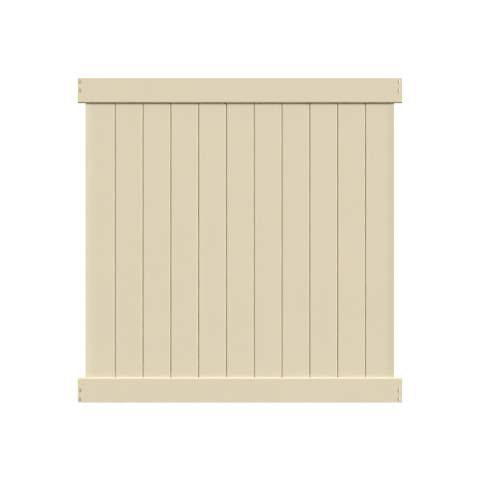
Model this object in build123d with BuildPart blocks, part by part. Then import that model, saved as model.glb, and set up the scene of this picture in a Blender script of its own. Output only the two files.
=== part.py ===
from build123d import *
from math import asin, degrees
import os

# Vinyl privacy fence panel: two hollow pocket rails, a field of tongue-and-groove boards
# and a U-shaped channel at each end of the field. Millimetres, +Z up, front towards -Y.
# The origin is under the middle of the bottom rail, on its lower face.

# Panel
panel_height = 1778.0
rail_overhang = 43.0  # rail beyond each side channel, the length that enters a post

# Pocket rail, one extrusion for both rails
rail_height = 136.5
rail_depth = 44.45
rail_wall = 2.3
closed_edge_radius = 0.8
pocket_edge_radius = 7.2
pocket_depth = 31.75
pocket_wall = 1.8
pocket_clearance = 0.4  # each side of a board
pocket_lead_in = 0.6

# Lock tabs lanced out of the rail faces near each end
tab_count = 2
tab_first = 19.5  # closed edge of the rail to the middle of the first front tab
tab_pitch = 48.5
tab_length = 22.0
tab_reach = 10.8
tab_lift = 3.3
tab_corner_radius = 4.5
tab_left_setback = 4.8  # left end of the rail to the tab's bend
tab_right_setback = 8.2  # right end of the rail to the tab's bend
tab_slit = 3.0  # opening left in front of the lip
tab_side_cut = 0.5

# Tongue-and-groove boards
board_count = 11
board_pitch = 152.4
board_thickness = 22.2
board_wall = 1.5
rib_count = 4
rib_thickness = 1.2
joint_reveal = 3.9  # open line between the faces of two boards
edge_radius = 3.8  # of the long edges of a face, more than board_wall
tongue_length = 7.9
tongue_thickness = 6.4
groove_clearance = 0.4  # each side of the tongue
groove_end_clearance = 0.8

# Side channels, whose flanges slope down to a feather edge on the boards
channel_depth = 36.5
channel_web = 2.0
channel_root_wall = 1.8
channel_tip_wall = 0.6
channel_crown = 2.0  # rise of a flange's outside from its tip to the web
channel_corner_radius = 1.8
channel_tip_roundness = 0.4  # tip radius as a share of the tip's thickness
channel_tip_clearance = 0.1  # each side of a board
channel_end_gap = 1.0  # under the top rail
left_expansion_gap = 0.6  # first tongue to the channel web
right_expansion_gap = 7.0  # last board to the channel web

# Steel stiffener in each rail
stiffener_thickness = 0.8
stiffener_side_clearance = 1.0
stiffener_top_clearance = 3.0
stiffener_bend_radius = 1.6  # inside the fold
stiffener_setback = 4.0  # rail end to stiffener end

# Weep holes, drilled straight through the bottom rail
weep_diameter = 6.35
weep_count = 3
weep_pitch = 560.0

# Derived sizes
boards_width = board_count * board_pitch - joint_reveal + tongue_length
field_width = boards_width + left_expansion_gap + right_expansion_gap + 2 * channel_web
rail_length = field_width + 2 * rail_overhang
pocket_width = board_thickness + 2 * pocket_clearance
pocket_floor = rail_height - pocket_depth  # from the closed edge of the rail
board_bottom = pocket_floor
board_length = panel_height - 2 * pocket_floor
channel_length = panel_height - 2 * rail_height - channel_end_gap
tab_tilt = degrees(asin(tab_lift / tab_reach))

os.makedirs("parts", exist_ok=True)


def write_part(builder, name):
    builder.part.label = name
    export_step(builder.part, f"parts/{name}.step")


# Rail section: x across the rail, y from the closed edge to the pocket mouth
with BuildSketch() as rail_outline:
    Rectangle(rail_depth, rail_height, align=(Align.CENTER, Align.MIN))
    fillet(rail_outline.vertices().group_by(Axis.Y)[0], closed_edge_radius)
    fillet(rail_outline.vertices().group_by(Axis.Y)[-1], pocket_edge_radius)

with BuildSketch() as rail_chambers:
    add(rail_outline.sketch)
    offset(amount=-rail_wall, mode=Mode.REPLACE)
    with Locations((0, pocket_floor)):
        Rectangle(rail_depth, pocket_wall, align=(Align.CENTER, Align.MAX), mode=Mode.SUBTRACT)
        Rectangle(
            pocket_width + 2 * pocket_wall,
            pocket_depth,
            align=(Align.CENTER, Align.MIN),
            mode=Mode.SUBTRACT,
        )

with BuildSketch() as rail_section:
    add(rail_outline.sketch)
    add(rail_chambers.sketch, mode=Mode.SUBTRACT)
    with Locations((0, pocket_floor)):
        Rectangle(
            pocket_width, pocket_depth, align=(Align.CENTER, Align.MIN), mode=Mode.SUBTRACT
        )
    mouth_corners = rail_section.vertices().group_by(Axis.Y)[-1].sort_by(lambda v: abs(v.X))[:2]
    fillet(mouth_corners, pocket_lead_in)

# Lock tab outlines: x from the bend towards the middle of the rail, y along the rail's height
with BuildSketch() as tab_blank:
    Rectangle(tab_reach, tab_length, align=(Align.MIN, Align.CENTER))
    fillet(tab_blank.vertices().group_by(Axis.X)[-1], tab_corner_radius)
    Rectangle(rail_wall, tab_length, align=(Align.MAX, Align.CENTER))

with BuildSketch() as tab_window:
    Rectangle(
        tab_reach + tab_slit, tab_length + 2 * tab_side_cut, align=(Align.MIN, Align.CENTER)
    )
    fillet(tab_window.vertices().group_by(Axis.X)[-1], tab_corner_radius)


def tab_planes(closed_edge_height, towards_pocket):
    # the tabs of the back face stand half a pitch from those of the front
    planes = []
    for end, setback in ((-1, tab_left_setback), (1, tab_right_setback)):
        for face, first in ((-1, tab_first), (1, tab_first + tab_pitch / 2)):
            for number in range(tab_count):
                bend = (
                    end * (rail_length / 2 - setback),
                    face * rail_depth / 2,
                    closed_edge_height + towards_pocket * (first + number * tab_pitch),
                )
                planes.append(Plane(origin=bend, x_dir=(-end, 0, 0), z_dir=(0, face, 0)))
    return planes


def lance_tabs(planes):
    with BuildSketch(*planes) as windows:
        add(tab_window.sketch)
    extrude(windows.sketch, amount=-rail_wall, mode=Mode.SUBTRACT)
    with BuildSketch(*[plane.moved(Rotation(0, -tab_tilt, 0)) for plane in planes]) as blanks:
        add(tab_blank.sketch)
    extrude(blanks.sketch, amount=-rail_wall)


with BuildSketch() as weep_holes:
    with GridLocations(weep_pitch, 0, weep_count, 1):
        Circle(weep_diameter / 2)

# Bottom rail: closed edge down, pocket up, drained by the weep holes
with BuildPart() as bottom_rail:
    with BuildSketch(Plane((-rail_length / 2, 0, 0), x_dir=(0, 1, 0), z_dir=(1, 0, 0))):
        add(rail_section.sketch)
    extrude(amount=rail_length)
    lance_tabs(tab_planes(0, 1))
    with BuildSketch(Plane.XY):
        add(weep_holes.sketch)
    extrude(amount=pocket_floor, mode=Mode.SUBTRACT)
write_part(bottom_rail, "bottom_rail")

# Top rail: the same extrusion turned over
with BuildPart() as top_rail:
    with BuildSketch(
        Plane((-rail_length / 2, 0, panel_height), x_dir=(0, -1, 0), z_dir=(1, 0, 0))
    ):
        add(rail_section.sketch)
    extrude(amount=rail_length)
    lance_tabs(tab_planes(panel_height, -1))
write_part(top_rail, "top_rail")

# Board section: x across the face from the left joint line, y through the thickness
half_thickness = board_thickness / 2
half_tongue = tongue_thickness / 2
half_groove = half_tongue + groove_clearance
face_left = joint_reveal / 2
face_right = board_pitch - joint_reveal / 2
groove_depth = tongue_length - joint_reveal + groove_end_clearance

with BuildSketch() as board_outline:
    with Locations((board_pitch / 2, 0)):
        Rectangle(face_right - face_left, board_thickness)
    with Locations((face_left, 0)):
        Rectangle(tongue_length, tongue_thickness, align=(Align.MAX, Align.CENTER))
    with Locations((face_right, 0)):
        Rectangle(
            groove_depth, 2 * half_groove, align=(Align.MAX, Align.CENTER), mode=Mode.SUBTRACT
        )
    front_corners = board_outline.vertices().group_by(Axis.Y)[0]
    back_corners = board_outline.vertices().group_by(Axis.Y)[-1]
    fillet(front_corners + back_corners, edge_radius)

cell_left = face_left + board_wall
cell_right = face_right - groove_depth - board_wall
cell_pitch = (cell_right - cell_left) / (rib_count + 1)

with BuildSketch() as board_cells:
    add(board_outline.sketch)
    offset(amount=-board_wall, kind=Kind.INTERSECTION, mode=Mode.REPLACE)
    with Locations(((cell_left + cell_right) / 2, 0)):
        with GridLocations(cell_pitch, 0, rib_count, 1):
            Rectangle(rib_thickness, board_thickness, mode=Mode.SUBTRACT)

with BuildSketch() as board_section:
    add(board_outline.sketch)
    add(board_cells.sketch, mode=Mode.SUBTRACT)

# Boards, standing on the floor of the lower pocket and carrying the upper one
first_joint = -field_width / 2 + channel_web + left_expansion_gap + tongue_length - face_left
for number in range(board_count):
    with BuildPart() as board:
        with BuildSketch(Plane((first_joint + number * board_pitch, 0, board_bottom))):
            add(board_section.sketch)
        extrude(amount=board_length)
    write_part(board, f"board_{number + 1:02d}")

# Side channel section: x from the back of the web towards the boards. The outside of a flange
# runs straight for half its depth, then curves until it lies along the board.
tip_inside = half_thickness + channel_tip_clearance
tip_outside = tip_inside + channel_tip_wall
curve_outside = tip_outside + channel_crown / 3
root_outside = tip_outside + channel_crown
root_inside = root_outside - channel_root_wall
with BuildSketch() as channel_section:
    with BuildLine():
        slope = Line((0, root_outside), (channel_depth / 2, curve_outside))
        TangentArc(slope @ 1, (channel_depth, tip_outside), tangent=slope % 1)
        Polyline(
            (channel_depth, tip_outside),
            (channel_depth, tip_inside),
            (channel_web, root_inside),
            (channel_web, 0),
            (0, 0),
            (0, root_outside),
        )
    make_face()
    mirror(about=Plane.XZ)
    tips = channel_section.vertices().group_by(Axis.X)[-1]
    fillet(tips, channel_tip_roundness * channel_tip_wall)
    web_corners = channel_section.vertices().group_by(Axis.X)[0]
    fillet(web_corners, channel_corner_radius)

for side, name in ((1, "left_side_channel"), (-1, "right_side_channel")):
    with BuildPart() as side_channel:
        with BuildSketch(
            Plane((-side * field_width / 2, 0, rail_height), x_dir=(side, 0, 0), z_dir=(0, 0, 1))
        ):
            add(channel_section.sketch)
        extrude(amount=channel_length)
    write_part(side_channel, name)

# Stiffeners: folded channels, open side down, one on the bottom rail's lower wall and one on
# the floor of the top rail's chamber
stiffener_width = rail_depth - 2 * (rail_wall + stiffener_side_clearance)
stiffener_height = pocket_floor - pocket_wall - rail_wall - stiffener_top_clearance
stiffener_length = rail_length - 2 * stiffener_setback
with BuildSketch() as stiffener_hollow:
    Rectangle(
        stiffener_width - 2 * stiffener_thickness,
        stiffener_height - stiffener_thickness,
        align=(Align.CENTER, Align.MIN),
    )
    fillet(stiffener_hollow.vertices().group_by(Axis.Y)[-1], stiffener_bend_radius)

with BuildSketch() as stiffener_section:
    Rectangle(stiffener_width, stiffener_height, align=(Align.CENTER, Align.MIN))
    fold_corners = stiffener_section.vertices().group_by(Axis.Y)[-1]
    fillet(fold_corners, stiffener_bend_radius + stiffener_thickness)
    add(stiffener_hollow.sketch, mode=Mode.SUBTRACT)

with BuildPart() as bottom_stiffener:
    with BuildSketch(
        Plane((-stiffener_length / 2, 0, rail_wall), x_dir=(0, 1, 0), z_dir=(1, 0, 0))
    ):
        add(stiffener_section.sketch)
    extrude(amount=stiffener_length)
    with BuildSketch(Plane.XY):
        add(weep_holes.sketch)
    extrude(amount=pocket_floor, mode=Mode.SUBTRACT)
write_part(bottom_stiffener, "bottom_rail_stiffener")

chamber_floor = panel_height - pocket_floor + pocket_wall
with BuildPart() as top_stiffener:
    with BuildSketch(
        Plane((-stiffener_length / 2, 0, chamber_floor), x_dir=(0, 1, 0), z_dir=(1, 0, 0))
    ):
        add(stiffener_section.sketch)
    extrude(amount=stiffener_length)
write_part(top_stiffener, "top_rail_stiffener")
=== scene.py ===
import bmesh
import bpy
import math
from mathutils import Matrix, Vector


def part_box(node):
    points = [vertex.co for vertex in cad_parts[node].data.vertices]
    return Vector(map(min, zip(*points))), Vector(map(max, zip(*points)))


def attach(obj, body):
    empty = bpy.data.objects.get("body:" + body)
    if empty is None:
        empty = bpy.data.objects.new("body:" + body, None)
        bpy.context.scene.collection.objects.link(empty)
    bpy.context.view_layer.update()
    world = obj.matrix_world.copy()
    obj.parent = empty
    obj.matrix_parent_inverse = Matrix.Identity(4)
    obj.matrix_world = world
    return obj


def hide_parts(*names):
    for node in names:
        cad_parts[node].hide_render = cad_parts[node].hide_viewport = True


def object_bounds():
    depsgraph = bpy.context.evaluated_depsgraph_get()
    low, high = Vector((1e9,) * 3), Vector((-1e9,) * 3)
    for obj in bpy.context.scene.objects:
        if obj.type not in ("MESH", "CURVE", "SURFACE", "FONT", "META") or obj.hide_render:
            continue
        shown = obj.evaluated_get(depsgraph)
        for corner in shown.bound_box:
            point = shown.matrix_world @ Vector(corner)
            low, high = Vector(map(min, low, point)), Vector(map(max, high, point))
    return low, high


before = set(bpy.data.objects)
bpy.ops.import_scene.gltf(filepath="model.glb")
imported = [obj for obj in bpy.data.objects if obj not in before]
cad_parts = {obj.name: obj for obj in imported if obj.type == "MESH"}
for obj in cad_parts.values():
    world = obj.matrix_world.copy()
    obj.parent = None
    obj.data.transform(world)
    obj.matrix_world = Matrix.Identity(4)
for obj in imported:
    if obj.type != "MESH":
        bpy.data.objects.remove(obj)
cadLow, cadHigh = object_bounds()
print("frame loaded,", len(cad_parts), "nodes")

slack = 1e-6        # metres, places closer than this are one place
overshoot = 0.001   # how far a cutter runs past what it cuts


# modelling helpers, each one a thin wrapper round the operators

def clearSelection():
    bpy.ops.object.select_all(action="DESELECT")


def useOnly(piece):
    clearSelection()
    piece.select_set(True)
    bpy.context.view_layer.objects.active = piece


def addPlate(name, size, centre, turn=(0, 0, 0)):
    clearSelection()
    bpy.ops.mesh.primitive_plane_add(size=1, location=centre, rotation=turn)
    piece = bpy.context.object
    piece.name = name
    piece.scale = (size[0], size[1], 1)
    bpy.ops.object.transform_apply(location=True, rotation=True, scale=True)
    return piece


def startEdit(piece):
    useOnly(piece)
    bpy.ops.object.mode_set(mode="EDIT")
    bpy.ops.mesh.select_all(action="SELECT")


def endEdit():
    bpy.ops.mesh.select_all(action="SELECT")
    bpy.ops.mesh.remove_doubles(threshold=slack)
    bpy.ops.mesh.normals_make_consistent(inside=False)
    bpy.ops.object.mode_set(mode="OBJECT")


def middle(item):
    return sum((v.co for v in item.verts), Vector()) / len(item.verts)


def runsAlong(edge, axis):
    first, last = edge.verts
    return (last.co - first.co).normalized()[axis] ** 2 > 0.99


def pick(piece, kind, test):
    bpy.ops.mesh.select_mode(type=kind)
    bpy.ops.mesh.select_all(action="DESELECT")
    shape = bmesh.from_edit_mesh(piece.data)
    for item in {"VERT": shape.verts, "EDGE": shape.edges, "FACE": shape.faces}[kind]:
        if test(item):
            item.select_set(True)
    bmesh.update_edit_mesh(piece.data)


def pull(offset):
    bpy.ops.mesh.extrude_region_move(TRANSFORM_OT_translate={"value": offset})


def cutAcross(place, across):
    bpy.ops.mesh.select_all(action="SELECT")
    bpy.ops.mesh.bisect(plane_co=place, plane_no=across)


def roundCorners(piece, test, radius, steps):
    pick(piece, "VERT", test)
    bpy.ops.mesh.bevel(offset=radius, offset_pct=0, segments=steps, affect="VERTICES",
                       clamp_overlap=False)


def roundEdges(piece, test, radius, steps):
    pick(piece, "EDGE", test)
    bpy.ops.mesh.bevel(offset=radius, offset_pct=0, segments=steps, affect="EDGES",
                       clamp_overlap=False)


def combine(piece, tool, operation):
    useOnly(piece)
    step = piece.modifiers.new("combine", "BOOLEAN")
    step.operation = operation
    step.solver = "EXACT"
    step.object = tool
    bpy.ops.object.modifier_apply(modifier=step.name)
    bpy.data.objects.remove(tool)


def copyPiece(piece, name, move):
    twin = piece.copy()
    twin.data = piece.data.copy()
    twin.name = name
    twin.data.name = name
    twin.data.transform(move)
    bpy.context.collection.objects.link(twin)
    return twin


def softShade(piece, angle=32):
    useOnly(piece)
    bpy.ops.object.shade_smooth_by_angle(angle=math.radians(angle))
    step = piece.modifiers.new("flatFirst", "WEIGHTED_NORMAL")
    step.keep_sharp = True
    step.weight = 100
    bpy.ops.object.modifier_apply(modifier=step.name)


def handOver(piece, node, material):
    piece.data.materials.clear()
    piece.data.materials.append(material)
    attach(piece, "root")
    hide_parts(node)


# shader helpers: maths on sockets reads as plain expressions

class Sock:
    def __init__(self, tree, socket):
        self.tree = tree
        self.socket = socket

    def math(self, operation, other, flipped=False):
        node = self.tree.nodes.new("ShaderNodeMath")
        node.operation = operation
        values = (other, self) if flipped else (self, other)
        for slotIn, value in zip(node.inputs, values):
            if isinstance(value, Sock):
                self.tree.links.new(value.socket, slotIn)
            else:
                slotIn.default_value = value
        return Sock(self.tree, node.outputs[0])

    def __add__(self, other):
        return self.math("ADD", other)

    def __radd__(self, other):
        return self.math("ADD", other, True)

    def __sub__(self, other):
        return self.math("SUBTRACT", other)

    def __rsub__(self, other):
        return self.math("SUBTRACT", other, True)

    def __mul__(self, other):
        return self.math("MULTIPLY", other)

    def __rmul__(self, other):
        return self.math("MULTIPLY", other, True)


class Shader:
    def __init__(self, owner):
        owner.use_nodes = True
        self.tree = owner.node_tree
        self.tree.nodes.clear()

    # any node: its type, its settings, then the values or links of its sockets
    def node(self, kind, settings=None, inputs=None, out=0):
        made = self.tree.nodes.new(kind)
        for key, value in (settings or {}).items():
            setattr(made, key, value)
        for key, value in (inputs or {}).items():
            if isinstance(value, Sock):
                self.tree.links.new(value.socket, made.inputs[key])
            else:
                made.inputs[key].default_value = value
        return Sock(self.tree, made.outputs[out]) if made.outputs else None

    def mixColours(self, share, first, second):
        first, second = [(*tint, 1) if isinstance(tint, tuple) else tint for tint in (first, second)]
        return self.node("ShaderNodeMix", {"data_type": "RGBA"}, {0: share, 6: first, 7: second}, 2)

    def finish(self, kind, inputs, output="ShaderNodeOutputMaterial"):
        self.node(output, inputs={"Surface": self.node(kind, inputs=inputs)})


vinylFinish = {
    "sandDeep": (0.769, 0.682, 0.505),
    "sandPale": (0.785, 0.699, 0.522),
    "roughness": 0.46,
    "specular": 0.42,
    "streakScale": 90.0,      # die lines per metre, across the run
    "streakStretch": 0.006,   # how far a line is drawn out along the run
    "streakShare": 0.4,       # of the colour, the mottle has the rest
    "streakRough": 0.10,
    "streakDepth": 2.0,       # against the skin
    "mottleScale": 3.0,
    "skinScale": 1400.0,
    "skinRough": 0.06,
    "skinDepth": 0.00002,
    "bump": 0.5,
}


def makeVinyl(name, run):
    made = bpy.data.materials.new(name)
    paint = Shader(made)
    where = paint.node("ShaderNodeTexCoord", out="Object")
    stretch = [vinylFinish["streakStretch"] if axis == run else 1.0 for axis in "XYZ"]
    drawn = paint.node("ShaderNodeMapping", inputs={"Vector": where, "Scale": stretch})
    streak = paint.node("ShaderNodeTexNoise", inputs={
        "Vector": drawn, "Scale": vinylFinish["streakScale"], "Detail": 2.0, "Roughness": 0.5})
    mottle = paint.node("ShaderNodeTexNoise", inputs={
        "Vector": where, "Scale": vinylFinish["mottleScale"], "Detail": 2.0, "Roughness": 0.5})
    skin = paint.node("ShaderNodeTexNoise", inputs={
        "Vector": where, "Scale": vinylFinish["skinScale"], "Detail": 1.0, "Roughness": 0.5})
    tone = (1 - vinylFinish["streakShare"]) * mottle + vinylFinish["streakShare"] * streak
    colour = paint.mixColours(tone, vinylFinish["sandDeep"], vinylFinish["sandPale"])
    uneven = vinylFinish["streakRough"] * (streak - 0.5) + vinylFinish["skinRough"] * (skin - 0.5)
    relief = paint.node("ShaderNodeBump", inputs={
        "Strength": vinylFinish["bump"], "Distance": vinylFinish["skinDepth"],
        "Height": skin + vinylFinish["streakDepth"] * streak})
    paint.finish("ShaderNodeBsdfPrincipled", {
        "Base Color": colour, "Roughness": vinylFinish["roughness"] + uneven, "Normal": relief,
        "Specular IOR Level": vinylFinish["specular"]})
    return made


zincFinish = {
    "pale": (0.61, 0.62, 0.63),
    "dark": (0.52, 0.53, 0.54),
    "spangleScale": 130.0,    # crystals per metre
    "spangleShare": 0.7,      # of the colour, the haze has the rest
    "spangleRough": 0.10,
    "hazeScale": 45.0,
    "hazeRough": 0.06,
    "roughness": 0.42,
}


def makeZinc():
    made = bpy.data.materials.new("zinc")
    paint = Shader(made)
    where = paint.node("ShaderNodeTexCoord", out="Object")
    crystal = paint.node("ShaderNodeTexVoronoi", inputs={
        "Vector": where, "Scale": zincFinish["spangleScale"], "Randomness": 1.0}, out="Color")
    facet = paint.node("ShaderNodeSeparateColor", inputs={0: crystal}, out="Red")
    haze = paint.node("ShaderNodeTexNoise", inputs={
        "Vector": where, "Scale": zincFinish["hazeScale"], "Detail": 3.0})
    tone = zincFinish["spangleShare"] * facet + (1 - zincFinish["spangleShare"]) * haze
    colour = paint.mixColours(tone, zincFinish["dark"], zincFinish["pale"])
    uneven = zincFinish["spangleRough"] * (facet - 0.5) + zincFinish["hazeRough"] * (haze - 0.5)
    paint.finish("ShaderNodeBsdfPrincipled", {
        "Base Color": colour, "Roughness": zincFinish["roughness"] + uneven, "Metallic": 1.0})
    return made


railVinyl = makeVinyl("railVinyl", "X")
boardVinyl = makeVinyl("boardVinyl", "Z")
channelVinyl = makeVinyl("channelVinyl", "Z")
zinc = makeZinc()
for node in ("top_rail_stiffener", "bottom_rail_stiffener"):
    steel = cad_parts[node]
    steel.data.materials.clear()
    steel.data.materials.append(zinc)
print("finishes ready")


# rail: hollow bar with three chambers and a pocket, tabs lanced out of both faces at each end

railSet = {
    "depth": 0.04445,
    "wall": 0.0023,
    "closedRound": 0.0008,
    "pocketRound": 0.0072,
    "pocketDepth": 0.03175,
    "pocketWidth": 0.0230,
    "pocketWall": 0.0018,
    "mouthRound": 0.0006,
    "mouthSteps": 3,
    "roundSteps": 10,
}
tabSet = {
    "heights": (0.0195, 0.068),   # on the front; the back row stands half a step higher
    "length": 0.022,
    "reach": 0.0108,
    "tilt": 28.0,
    "bendSteps": 8,
    "bendRun": 0.0090,
    "cornerRound": 0.0045,
    "cornerSteps": 6,
    "setbacks": (0.0053, 0.0082),   # rail end to bend, left end and right end
    "slit": 0.0030,
    "sideCut": 0.0005,
    "thinner": 0.0001,    # than the wall, so that no two faces lie in one plane
    "edgeRound": 0.0003,
    "edgeSteps": 2,
    "edgeAngle": 50.0,    # edges sharper than this are eased
}
weepSet = {"radius": 0.003175, "sides": 32, "places": (-0.56, 0.0, 0.56)}

railLow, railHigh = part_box("bottom_rail")
railLength = railHigh.x - railLow.x
railHeight = railHigh.z - railLow.z
sideways = (math.pi / 2, 0, math.pi / 2)   # plate stands across the run of a rail
upright = (math.pi / 2, 0, 0)              # plate stands along the run


def railBar(name, left, right, bottom, top, start, length, rounds=()):
    centre = (start, (left + right) / 2, (bottom + top) / 2)
    bar = addPlate(name, (right - left, top - bottom), centre, sideways)
    startEdit(bar)
    for test, radius in rounds:
        roundCorners(bar, test, radius, railSet["roundSteps"])
    bpy.ops.mesh.select_all(action="SELECT")
    pull((length, 0, 0))
    endEdit()
    return bar


def tabPlates():
    # window cutter and bent tab, both at the origin: bend along Z, reach along +X, outside towards -Y
    wall = railSet["wall"]
    reach = tabSet["reach"]
    far = reach + tabSet["slit"]
    opening = (far, tabSet["length"] + 2 * tabSet["sideCut"])
    window = addPlate("window", opening, (far / 2, -overshoot, 0), upright)
    startEdit(window)
    roundCorners(window, lambda v: v.co.x > far / 2, tabSet["cornerRound"], tabSet["cornerSteps"])
    bpy.ops.mesh.select_all(action="SELECT")
    pull((0, wall + 2 * overshoot, 0))
    endEdit()

    blank = (reach + wall, tabSet["length"])   # reaches back into the wall behind the bend
    tab = addPlate("tab", blank, ((reach - wall) / 2, tabSet["thinner"] / 2, 0), upright)
    startEdit(tab)
    roundCorners(tab, lambda v: v.co.x > reach / 2, tabSet["cornerRound"], tabSet["cornerSteps"])
    bends = [tabSet["bendRun"] * i / (tabSet["bendSteps"] - 1) for i in range(tabSet["bendSteps"])]
    for place in bends:
        cutAcross((place, 0, 0), (1, 0, 0))
    bpy.ops.mesh.select_all(action="SELECT")
    pull((0, wall - tabSet["thinner"], 0))
    for place in reversed(bends):
        pick(tab, "VERT", lambda v: v.co.x > place + slack)
        bpy.ops.transform.rotate(value=math.radians(tabSet["tilt"]) / len(bends), orient_axis="Z",
                                 center_override=(place, 0, 0))
    endEdit()
    useOnly(tab)
    step = tab.modifiers.new("edges", "BEVEL")
    step.width = tabSet["edgeRound"]
    step.segments = tabSet["edgeSteps"]
    step.angle_limit = math.radians(tabSet["edgeAngle"])
    bpy.ops.object.modifier_apply(modifier=step.name)
    return window, tab


def makeRail():
    half = railSet["depth"] / 2
    wall = railSet["wall"]
    floor = railHeight - railSet["pocketDepth"]
    pocket = railSet["pocketWidth"] / 2
    casing = pocket + railSet["pocketWall"]
    rail = railBar("rail", -half, half, 0, railHeight, railLow.x, railLength, (
        (lambda v: v.co.z < railHeight / 2, railSet["closedRound"]),
        (lambda v: v.co.z > railHeight - slack, railSet["pocketRound"]),
    ))
    begin = railLow.x - overshoot
    run = railLength + 2 * overshoot
    chamberTop = floor - railSet["pocketWall"]
    chamber = railBar("chamber", -half + wall, half - wall, wall, chamberTop, begin, run)
    combine(rail, chamber, "DIFFERENCE")
    mouth = railBar("pocket", -pocket, pocket, floor, railHeight + overshoot, begin, run)
    combine(rail, mouth, "DIFFERENCE")

    def outerCorner(v):
        return v.co.z > railHeight - wall - slack and abs(v.co.y) > half - wall - slack

    for side in (-1, 1):
        near, far = sorted((side * casing, side * (half - wall)))
        sideChamber = railBar("sideChamber", near, far, floor, railHeight - wall, begin, run, (
            (outerCorner, railSet["pocketRound"] - wall),
        ))
        combine(rail, sideChamber, "DIFFERENCE")

    def mouthEdge(e):
        return runsAlong(e, 0) and middle(e).z > railHeight - slack and abs(middle(e).y) < casing

    startEdit(rail)
    roundEdges(rail, mouthEdge, railSet["mouthRound"], railSet["mouthSteps"])
    endEdit()

    window, tab = tabPlates()
    turns = (
        (-1, -1, Matrix.Identity(4)),
        (1, -1, Matrix.Rotation(math.pi, 4, "Y")),
        (-1, 1, Matrix.Rotation(math.pi, 4, "X")),
        (1, 1, Matrix.Rotation(math.pi, 4, "Z")),
    )
    for end, face, turn in turns:
        setback = tabSet["setbacks"][0 if end < 0 else 1]
        stagger = (tabSet["heights"][1] - tabSet["heights"][0]) / 2 if face > 0 else 0
        for tabHeight in tabSet["heights"]:
            bend = (end * (railLength / 2 - setback), face * half, tabHeight + stagger)
            move = Matrix.Translation(bend) @ turn
            combine(rail, copyPiece(window, "windowCut", move), "DIFFERENCE")
            combine(rail, copyPiece(tab, "tabPlate", move), "UNION")
    bpy.data.objects.remove(window)
    bpy.data.objects.remove(tab)
    return rail


bottomRail = makeRail()
bottomRail.name = "bottomRail"
turnOver = Matrix.Translation((0, 0, cadHigh.z)) @ Matrix.Scale(-1, 4, (0, 0, 1))
topRail = copyPiece(bottomRail, "topRail", turnOver)
startEdit(topRail)
endEdit()
for place in weepSet["places"]:
    clearSelection()
    bpy.ops.mesh.primitive_cylinder_add(vertices=weepSet["sides"], radius=weepSet["radius"],
                                        depth=2 * railHeight, location=(place, 0, 0))
    drill = bpy.context.object
    bpy.ops.object.transform_apply(location=True, rotation=True, scale=True)
    combine(bottomRail, drill, "DIFFERENCE")
for rail, node in ((topRail, "top_rail"), (bottomRail, "bottom_rail")):
    softShade(rail)
    handOver(rail, node, railVinyl)
print("rails ready,", len(topRail.data.polygons), "faces")


# board: bevelled bar, tongue pulled out of one edge, groove pushed into the other, hollow cells

boardSet = {
    "edgeRound": 0.0038,
    "roundSteps": 8,
    "tongueLength": 0.0079,
    "tongueThick": 0.0064,
    "grooveSpare": 0.0004,
    "grooveEnd": 0.0008,
    "wall": 0.0015,
    "ribs": 4,
    "ribThick": 0.0012,
}
boardNodes = sorted(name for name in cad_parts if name.startswith("board_"))
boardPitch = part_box(boardNodes[1])[0].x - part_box(boardNodes[0])[0].x


def makeBoard():
    low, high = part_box(boardNodes[0])
    left = low.x + boardSet["tongueLength"]
    right = high.x
    length = high.z - low.z
    thickness = high.y - low.y
    reveal = boardPitch - (right - left)
    halfTongue = boardSet["tongueThick"] / 2
    halfGroove = halfTongue + boardSet["grooveSpare"]
    grooveDepth = boardSet["tongueLength"] - reveal + boardSet["grooveEnd"]
    board = addPlate("board", (right - left, thickness), ((left + right) / 2, 0, low.z))
    startEdit(board)
    roundCorners(board, lambda v: True, boardSet["edgeRound"], boardSet["roundSteps"])
    bpy.ops.mesh.select_all(action="SELECT")
    pull((0, 0, length))
    for place in (-halfGroove, -halfTongue, halfTongue, halfGroove):
        cutAcross((0, place, 0), (0, 1, 0))
    pick(board, "FACE", lambda f: abs(middle(f).x - left) < slack and abs(middle(f).y) < halfTongue)
    pull((-boardSet["tongueLength"], 0, 0))
    pick(board, "FACE", lambda f: abs(middle(f).x - right) < slack and abs(middle(f).y) < halfGroove)
    pull((-grooveDepth, 0, 0))
    endEdit()

    # hollow inside, with the ribs left standing; the tongue and the groove's lips are hollow too
    wall = boardSet["wall"]
    halfRib = boardSet["ribThick"] / 2
    cellLeft = left + wall
    cellRight = right - grooveDepth - wall
    cellPitch = (cellRight - cellLeft) / (boardSet["ribs"] + 1)
    ribs = [cellLeft + cellPitch * (number + 1) for number in range(boardSet["ribs"])]
    begins = [cellLeft] + [rib + halfRib for rib in ribs]
    ends = [rib - halfRib for rib in ribs] + [cellRight]
    tongueEnd = left - boardSet["tongueLength"]
    lipMiddle = (thickness / 2 + halfGroove) / 2
    lipHollow = thickness / 2 - halfGroove - 2 * wall
    hollows = [(tongueEnd + wall, cellLeft + overshoot, 0, 2 * (halfTongue - wall))]
    hollows += [(begin, end, 0, thickness - 2 * wall) for begin, end in zip(begins, ends)]
    hollows += [(cellRight - overshoot, right - wall, side * lipMiddle, lipHollow) for side in (-1, 1)]

    def outerCorner(v):
        atEdge = v.co.x < cellLeft + slack or v.co.x > right - wall - slack
        return atEdge and abs(v.co.y) > thickness / 2 - wall - slack

    for begin, end, across, deep in hollows:
        cell = addPlate("cell", (end - begin, deep), ((begin + end) / 2, across, low.z - overshoot))
        startEdit(cell)
        roundCorners(cell, outerCorner, boardSet["edgeRound"] - wall, boardSet["roundSteps"])
        bpy.ops.mesh.select_all(action="SELECT")
        pull((0, 0, length + 2 * overshoot))
        endEdit()
        combine(board, cell, "DIFFERENCE")
    softShade(board)
    return board


firstBoard = makeBoard()
for number, node in enumerate(boardNodes):
    shift = Matrix.Translation((number * boardPitch, 0, 0))
    board = copyPiece(firstBoard, f"board{number + 1:02d}", shift)
    handOver(board, node, boardVinyl)
bpy.data.objects.remove(firstBoard)
print("boards ready,", len(boardNodes))


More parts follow.
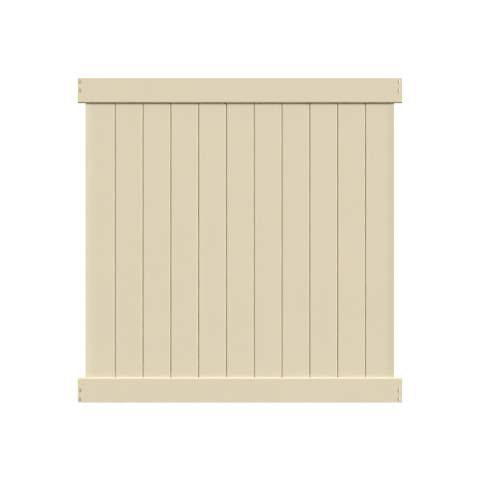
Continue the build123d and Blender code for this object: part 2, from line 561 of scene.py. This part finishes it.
# side channel: web with two flanges that lean in on the boards

channelSet = {
    "web": 0.0020,
    "rootThick": 0.0018,
    "tipThick": 0.0003,
    "tipSpare": 0.00005,      # feather edge to board face
    "crown": 0.0020,          # how far the flange swells from tip to root
    "flangeSteps": 8,
    "cornerRound": 0.0018,
    "tipRound": 0.00012,
    "roundSteps": 4,
}


def makeChannel():
    low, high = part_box("left_side_channel")
    web = channelSet["web"]
    steps = channelSet["flangeSteps"]
    depth = high.x - low.x
    stride = (depth - web) / steps
    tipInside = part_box(boardNodes[0])[1].y + channelSet["tipSpare"]
    tipOutside = tipInside + channelSet["tipThick"]
    crown = channelSet["crown"] / 3   # the curve below climbs to about 3 at the root
    outside = []
    for i in range(steps + 1):
        back = 2 * (steps - i) * stride / depth   # 0 at the tip, 1 where the flange runs straight
        outside.append(tipOutside + crown * (back ** 2 if back < 1 else 2 * back - 1))
    rootInside = outside[0] - channelSet["rootThick"]
    inside = [rootInside + (tipInside - rootInside) * i / steps for i in range(steps + 1)]

    channel = addPlate("leftChannel", (web, 2 * outside[0]), (low.x + web / 2, 0, low.z))
    startEdit(channel)
    for side in (-1, 1):
        cutAcross((0, side * rootInside, 0), (0, 1, 0))
    for side in (-1, 1):
        pick(channel, "EDGE",
             lambda e: middle(e).x > low.x + web - slack and side * middle(e).y > rootInside)
        for i in range(steps):
            pull((stride, side * (inside[i + 1] - inside[i]), 0))
            thinner = (outside[i + 1] - inside[i + 1]) / (outside[i] - inside[i])
            bpy.ops.transform.resize(value=(1, thinner, 1),
                                     center_override=(0, side * inside[i + 1], 0))
    bpy.ops.mesh.select_all(action="SELECT")
    pull((0, 0, high.z - low.z))
    endEdit()

    def webCorner(e):
        return runsAlong(e, 2) and middle(e).x < low.x + slack and abs(middle(e).y) > outside[0] - slack

    def tipEdge(e):
        return runsAlong(e, 2) and middle(e).x > high.x - slack

    startEdit(channel)
    roundEdges(channel, webCorner, channelSet["cornerRound"], channelSet["roundSteps"])
    roundEdges(channel, tipEdge, channelSet["tipRound"], channelSet["roundSteps"])
    endEdit()
    softShade(channel)
    return channel


leftChannel = makeChannel()
rightChannel = copyPiece(leftChannel, "rightChannel", Matrix.Rotation(math.pi, 4, "Z"))
handOver(leftChannel, "left_side_channel", channelVinyl)
handOver(rightChannel, "right_side_channel", channelVinyl)
print("channels ready")


# studio

studio = {
    "white": 1.05,            # backdrop and floor as the camera sees them
    "skyHigh": 0.66,
    "skyTint": (1.10, 1.00, 0.72),
    "skyLow": 0.06,
    "groundTint": (1.20, 0.98, 0.50),
    "horizon": 0.05,          # half the height of the blend between sky and ground
    "key": {"strength": 3.93, "tint": (0.93, 1.00, 1.15), "side": 58.0, "height": 29.0, "soft": 22.0},
    "rear": {"strength": 2.6, "tint": (0.93, 1.00, 1.15), "side": 222.0, "height": 10.0, "soft": 25.0},
    "floorDrop": 0.05,
    "floorSize": 200.0,
}


def makeWorld():
    world = bpy.data.worlds.new("studio")
    bpy.context.scene.world = world
    paint = Shader(world)
    direction = paint.node("ShaderNodeTexCoord", out="Generated")
    height = paint.node("ShaderNodeSeparateXYZ", inputs={0: direction}, out="Z")
    up = paint.node("ShaderNodeMapRange", {"clamp": True}, {
        "Value": height, "From Min": -studio["horizon"], "From Max": studio["horizon"]})
    light = studio["skyLow"] + up * (studio["skyHigh"] - studio["skyLow"])
    tint = paint.mixColours(up, studio["groundTint"], studio["skyTint"])
    seen = paint.node("ShaderNodeLightPath", out="Is Camera Ray")
    paint.finish("ShaderNodeBackground", {
        "Color": paint.mixColours(seen, tint, (1, 1, 1)),
        "Strength": light + seen * (studio["white"] - light)}, "ShaderNodeOutputWorld")


def makeLamp(name):
    values = studio[name]
    lamp = bpy.data.lights.new(name, "SUN")
    lamp.energy = values["strength"]
    lamp.color = values["tint"]
    lamp.angle = math.radians(values["soft"])
    holder = bpy.data.objects.new(name, lamp)
    side = math.radians(values["side"])       # from the front, round to the right
    rise = math.radians(values["height"])
    level = math.cos(rise)
    towards = Vector((math.sin(side) * level, -math.cos(side) * level, math.sin(rise)))
    holder.rotation_euler = towards.to_track_quat("Z", "Y").to_euler()
    bpy.context.collection.objects.link(holder)


def makeFloor():
    floor = addPlate("floor", (studio["floorSize"], studio["floorSize"]), (0, 0, -studio["floorDrop"]))
    made = bpy.data.materials.new("floorWhite")
    Shader(made).finish("ShaderNodeEmission", {"Color": (1, 1, 1, 1), "Strength": studio["white"]})
    floor.data.materials.append(made)
    floor.visible_diffuse = False
    floor.visible_glossy = False
    floor.visible_transmission = False
    floor.visible_shadow = False


cameraSet = {
    "lens": 240.0,
    "sensor": 36.0,
    "metresPerPixel": 0.005478,
    "imageSize": 480,
    "panelCentre": (239.93, 240.31),   # pixels from the upper left corner
    "clipEnd": 500.0,
}


def makeCamera():
    lens = bpy.data.cameras.new("camera")
    lens.lens = cameraSet["lens"]
    lens.sensor_width = cameraSet["sensor"]
    lens.clip_end = cameraSet["clipEnd"]
    camera = bpy.data.objects.new("camera", lens)
    bpy.context.collection.objects.link(camera)
    width = cameraSet["imageSize"] * cameraSet["metresPerPixel"]
    distance = width * cameraSet["lens"] / cameraSet["sensor"]
    centre = (cadLow + cadHigh) / 2
    half = cameraSet["imageSize"] / 2
    offX = (cameraSet["panelCentre"][0] - half) * cameraSet["metresPerPixel"]
    offZ = (cameraSet["panelCentre"][1] - half) * cameraSet["metresPerPixel"]
    camera.location = (centre.x - offX, -railSet["depth"] / 2 - distance, centre.z + offZ)
    camera.rotation_euler = (math.radians(90), 0, 0)
    bpy.context.scene.camera = camera


makeWorld()
makeLamp("key")
makeLamp("rear")
makeFloor()
makeCamera()
bpy.context.scene.view_settings.view_transform = "Standard"
print("studio ready")
